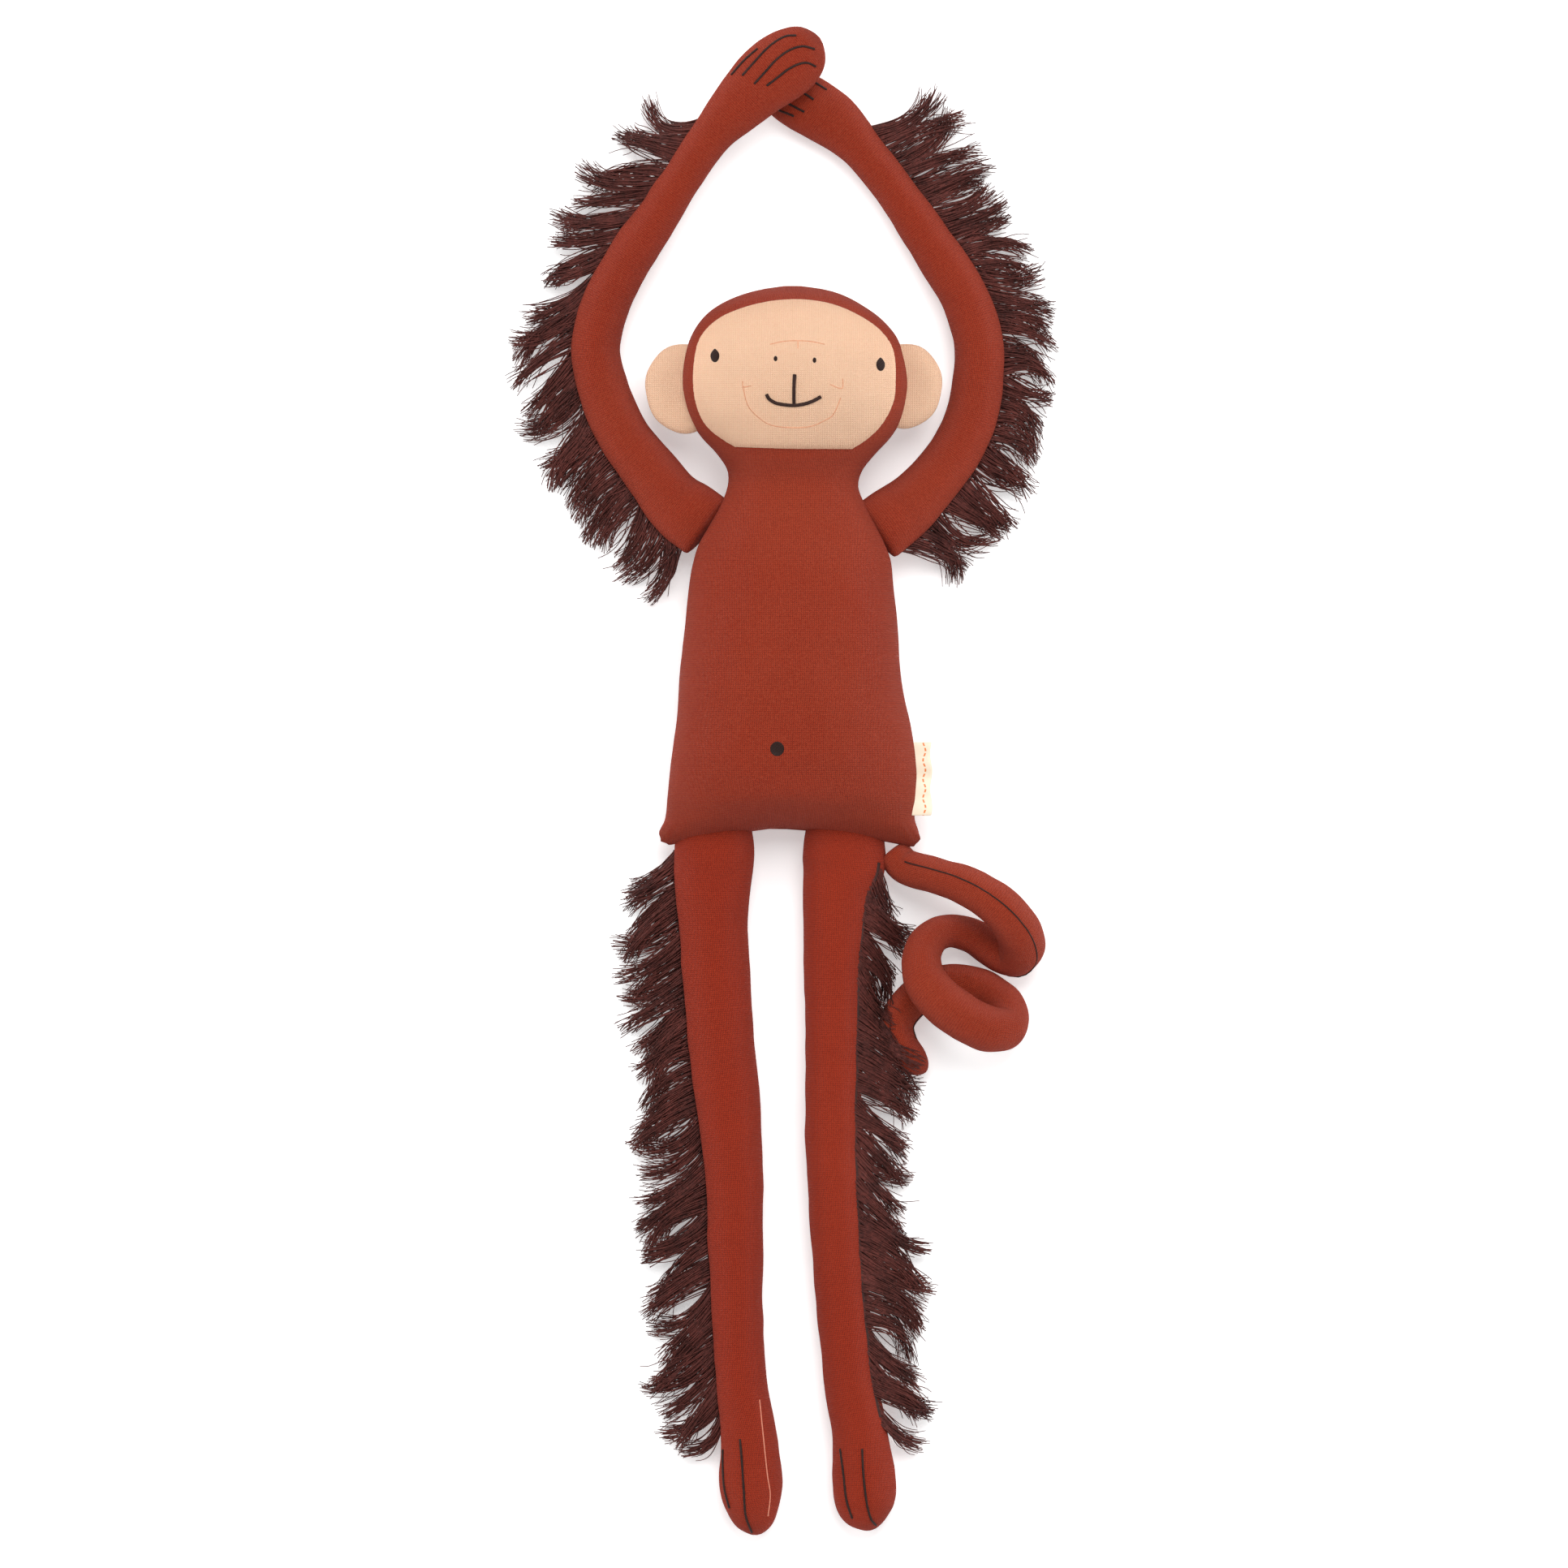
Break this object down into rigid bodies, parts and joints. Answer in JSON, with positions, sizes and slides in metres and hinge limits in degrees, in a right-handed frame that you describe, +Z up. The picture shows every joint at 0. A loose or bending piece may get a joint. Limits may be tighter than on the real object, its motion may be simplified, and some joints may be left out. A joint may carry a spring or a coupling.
{
  "type": "stuffed monkey",
  "caption": "Long-limbed stuffed monkey in fine knit, with raised arms, thread fringes, a coiled tail and an embroidered face.",
  "frame": {"origin": "on the flat of the torso's back, which rests on the surface, below the middle of the torso", "axes": "+Z up out of the belly, away from the surface; +Y from the feet towards the head; +X towards the toy's own left side"},
  "size_m": [0.1974, 0.5543, 0.0549],
  "materials": {
    "rust_knit": "matte",
    "flesh_knit": "matte",
    "fibre_filling": "matte",
    "fringe_thread": "satin",
    "fringe_tape": "matte",
    "embroidery_thread": "satin",
    "label_tape": "satin",
    "tail_wire": "satin"
  },
  "bodies": {
    "torso": {"torso_front_cover": "rust_knit", "torso_back_cover": "rust_knit", "torso_filling": "fibre_filling", "navel_embroidery": "embroidery_thread", "side_label": "label_tape"},
    "head": {"head_front_cover": "rust_knit", "head_back_cover": "rust_knit", "head_filling": "fibre_filling", "face_panel": "flesh_knit", "ear_right_cover": "flesh_knit", "ear_right_filling": "fibre_filling", "ear_left_cover": "flesh_knit", "ear_left_filling": "fibre_filling", "eye_right": "embroidery_thread", "eye_left": "embroidery_thread", "nostrils": "embroidery_thread", "mouth_embroidery": "embroidery_thread"},
    "arm_right_upper": {"arm_right_upper_cover": "rust_knit", "arm_right_upper_filling": "fibre_filling", "arm_right_upper_fringe_tape": "fringe_tape", "arm_right_upper_fringe": "fringe_thread"},
    "arm_right_lower": {"arm_right_lower_cover": "rust_knit", "arm_right_lower_filling": "fibre_filling", "arm_right_lower_fringe_tape": "fringe_tape", "arm_right_lower_fringe": "fringe_thread", "arm_right_finger_stitching": "embroidery_thread"},
    "arm_left_upper": {"arm_left_upper_cover": "rust_knit", "arm_left_upper_filling": "fibre_filling", "arm_left_upper_fringe_tape": "fringe_tape", "arm_left_upper_fringe": "fringe_thread"},
    "arm_left_lower": {"arm_left_lower_cover": "rust_knit", "arm_left_lower_filling": "fibre_filling", "arm_left_lower_fringe_tape": "fringe_tape", "arm_left_lower_fringe": "fringe_thread", "arm_left_finger_stitching": "embroidery_thread"},
    "leg_right_upper": {"leg_right_upper_cover": "rust_knit", "leg_right_upper_filling": "fibre_filling", "leg_right_upper_fringe_tape": "fringe_tape", "leg_right_upper_fringe": "fringe_thread"},
    "leg_right_lower": {"leg_right_lower_cover": "rust_knit", "leg_right_lower_filling": "fibre_filling", "leg_right_lower_fringe_tape": "fringe_tape", "leg_right_lower_fringe": "fringe_thread", "leg_right_toe_stitching": "embroidery_thread"},
    "leg_left_upper": {"leg_left_upper_cover": "rust_knit", "leg_left_upper_filling": "fibre_filling", "leg_left_upper_fringe_tape": "fringe_tape", "leg_left_upper_fringe": "fringe_thread"},
    "leg_left_lower": {"leg_left_lower_cover": "rust_knit", "leg_left_lower_filling": "fibre_filling", "leg_left_lower_fringe_tape": "fringe_tape", "leg_left_lower_fringe": "fringe_thread", "leg_left_toe_stitching": "embroidery_thread"},
    "tail": {"tail_cover": "rust_knit", "tail_filling": "fibre_filling", "tail_wire": "tail_wire"}
  },
  "joints": [
    {"name": "neck_nod", "type": "hinge", "parent": "torso", "child": "head", "pos_m": [0.0006, 0.077, 0.0155], "axis": [1, 0, 0], "range_deg": [0, 45]},
    {"name": "shoulder_right", "type": "hinge", "parent": "torso", "child": "arm_right_upper", "pos_m": [-0.0425, 0.067, 0.0103], "axis": [0, 0, 1], "range_deg": [0, 100], "deforming": ["arm_right_upper_fringe", "arm_right_upper_fringe_tape"]},
    {"name": "elbow_right", "type": "hinge", "parent": "arm_right_upper", "child": "arm_right_lower", "pos_m": [-0.072, 0.124, 0.0097], "axis": [0, 0, 1], "range_deg": [0, 65], "deforming": ["arm_right_lower_fringe", "arm_right_lower_fringe_tape"]},
    {"name": "shoulder_left", "type": "hinge", "parent": "torso", "child": "arm_left_upper", "pos_m": [0.042, 0.0665, 0.0103], "axis": [0, 0, -1], "range_deg": [0, 100], "deforming": ["arm_left_upper_fringe", "arm_left_upper_fringe_tape"]},
    {"name": "elbow_left", "type": "hinge", "parent": "arm_left_upper", "child": "arm_left_lower", "pos_m": [0.0696, 0.123, 0.0097], "axis": [0, 0, -1], "range_deg": [0, 65], "deforming": ["arm_left_lower_fringe", "arm_left_lower_fringe_tape"]},
    {"name": "hip_right", "type": "hinge", "parent": "torso", "child": "leg_right_upper", "pos_m": [-0.0288, -0.0688, 0.0106], "axis": [-1, 0, 0], "range_deg": [0, 90], "deforming": ["leg_right_upper_fringe", "leg_right_upper_fringe_tape"]},
    {"name": "knee_right", "type": "hinge", "parent": "leg_right_upper", "child": "leg_right_lower", "pos_m": [-0.0212, -0.185, 0.0102], "axis": [-1, 0, 0], "range_deg": [0, 90], "deforming": ["leg_right_lower_fringe", "leg_right_lower_fringe_tape"]},
    {"name": "hip_left", "type": "hinge", "parent": "torso", "child": "leg_left_upper", "pos_m": [0.0194, -0.0688, 0.0106], "axis": [-1, 0, 0], "range_deg": [0, 90], "deforming": ["leg_left_upper_fringe", "leg_left_upper_fringe_tape"]},
    {"name": "knee_left", "type": "hinge", "parent": "leg_left_upper", "child": "leg_left_lower", "pos_m": [0.0165, -0.185, 0.0102], "axis": [-1, 0, 0], "range_deg": [0, 90], "deforming": ["leg_left_lower_fringe", "leg_left_lower_fringe_tape"]},
    {"name": "tail_swing", "type": "hinge", "parent": "torso", "child": "tail", "pos_m": [0.043, -0.0652, 0.013], "axis": [0, 0, 1], "range_deg": [0, 30]}
  ]
}
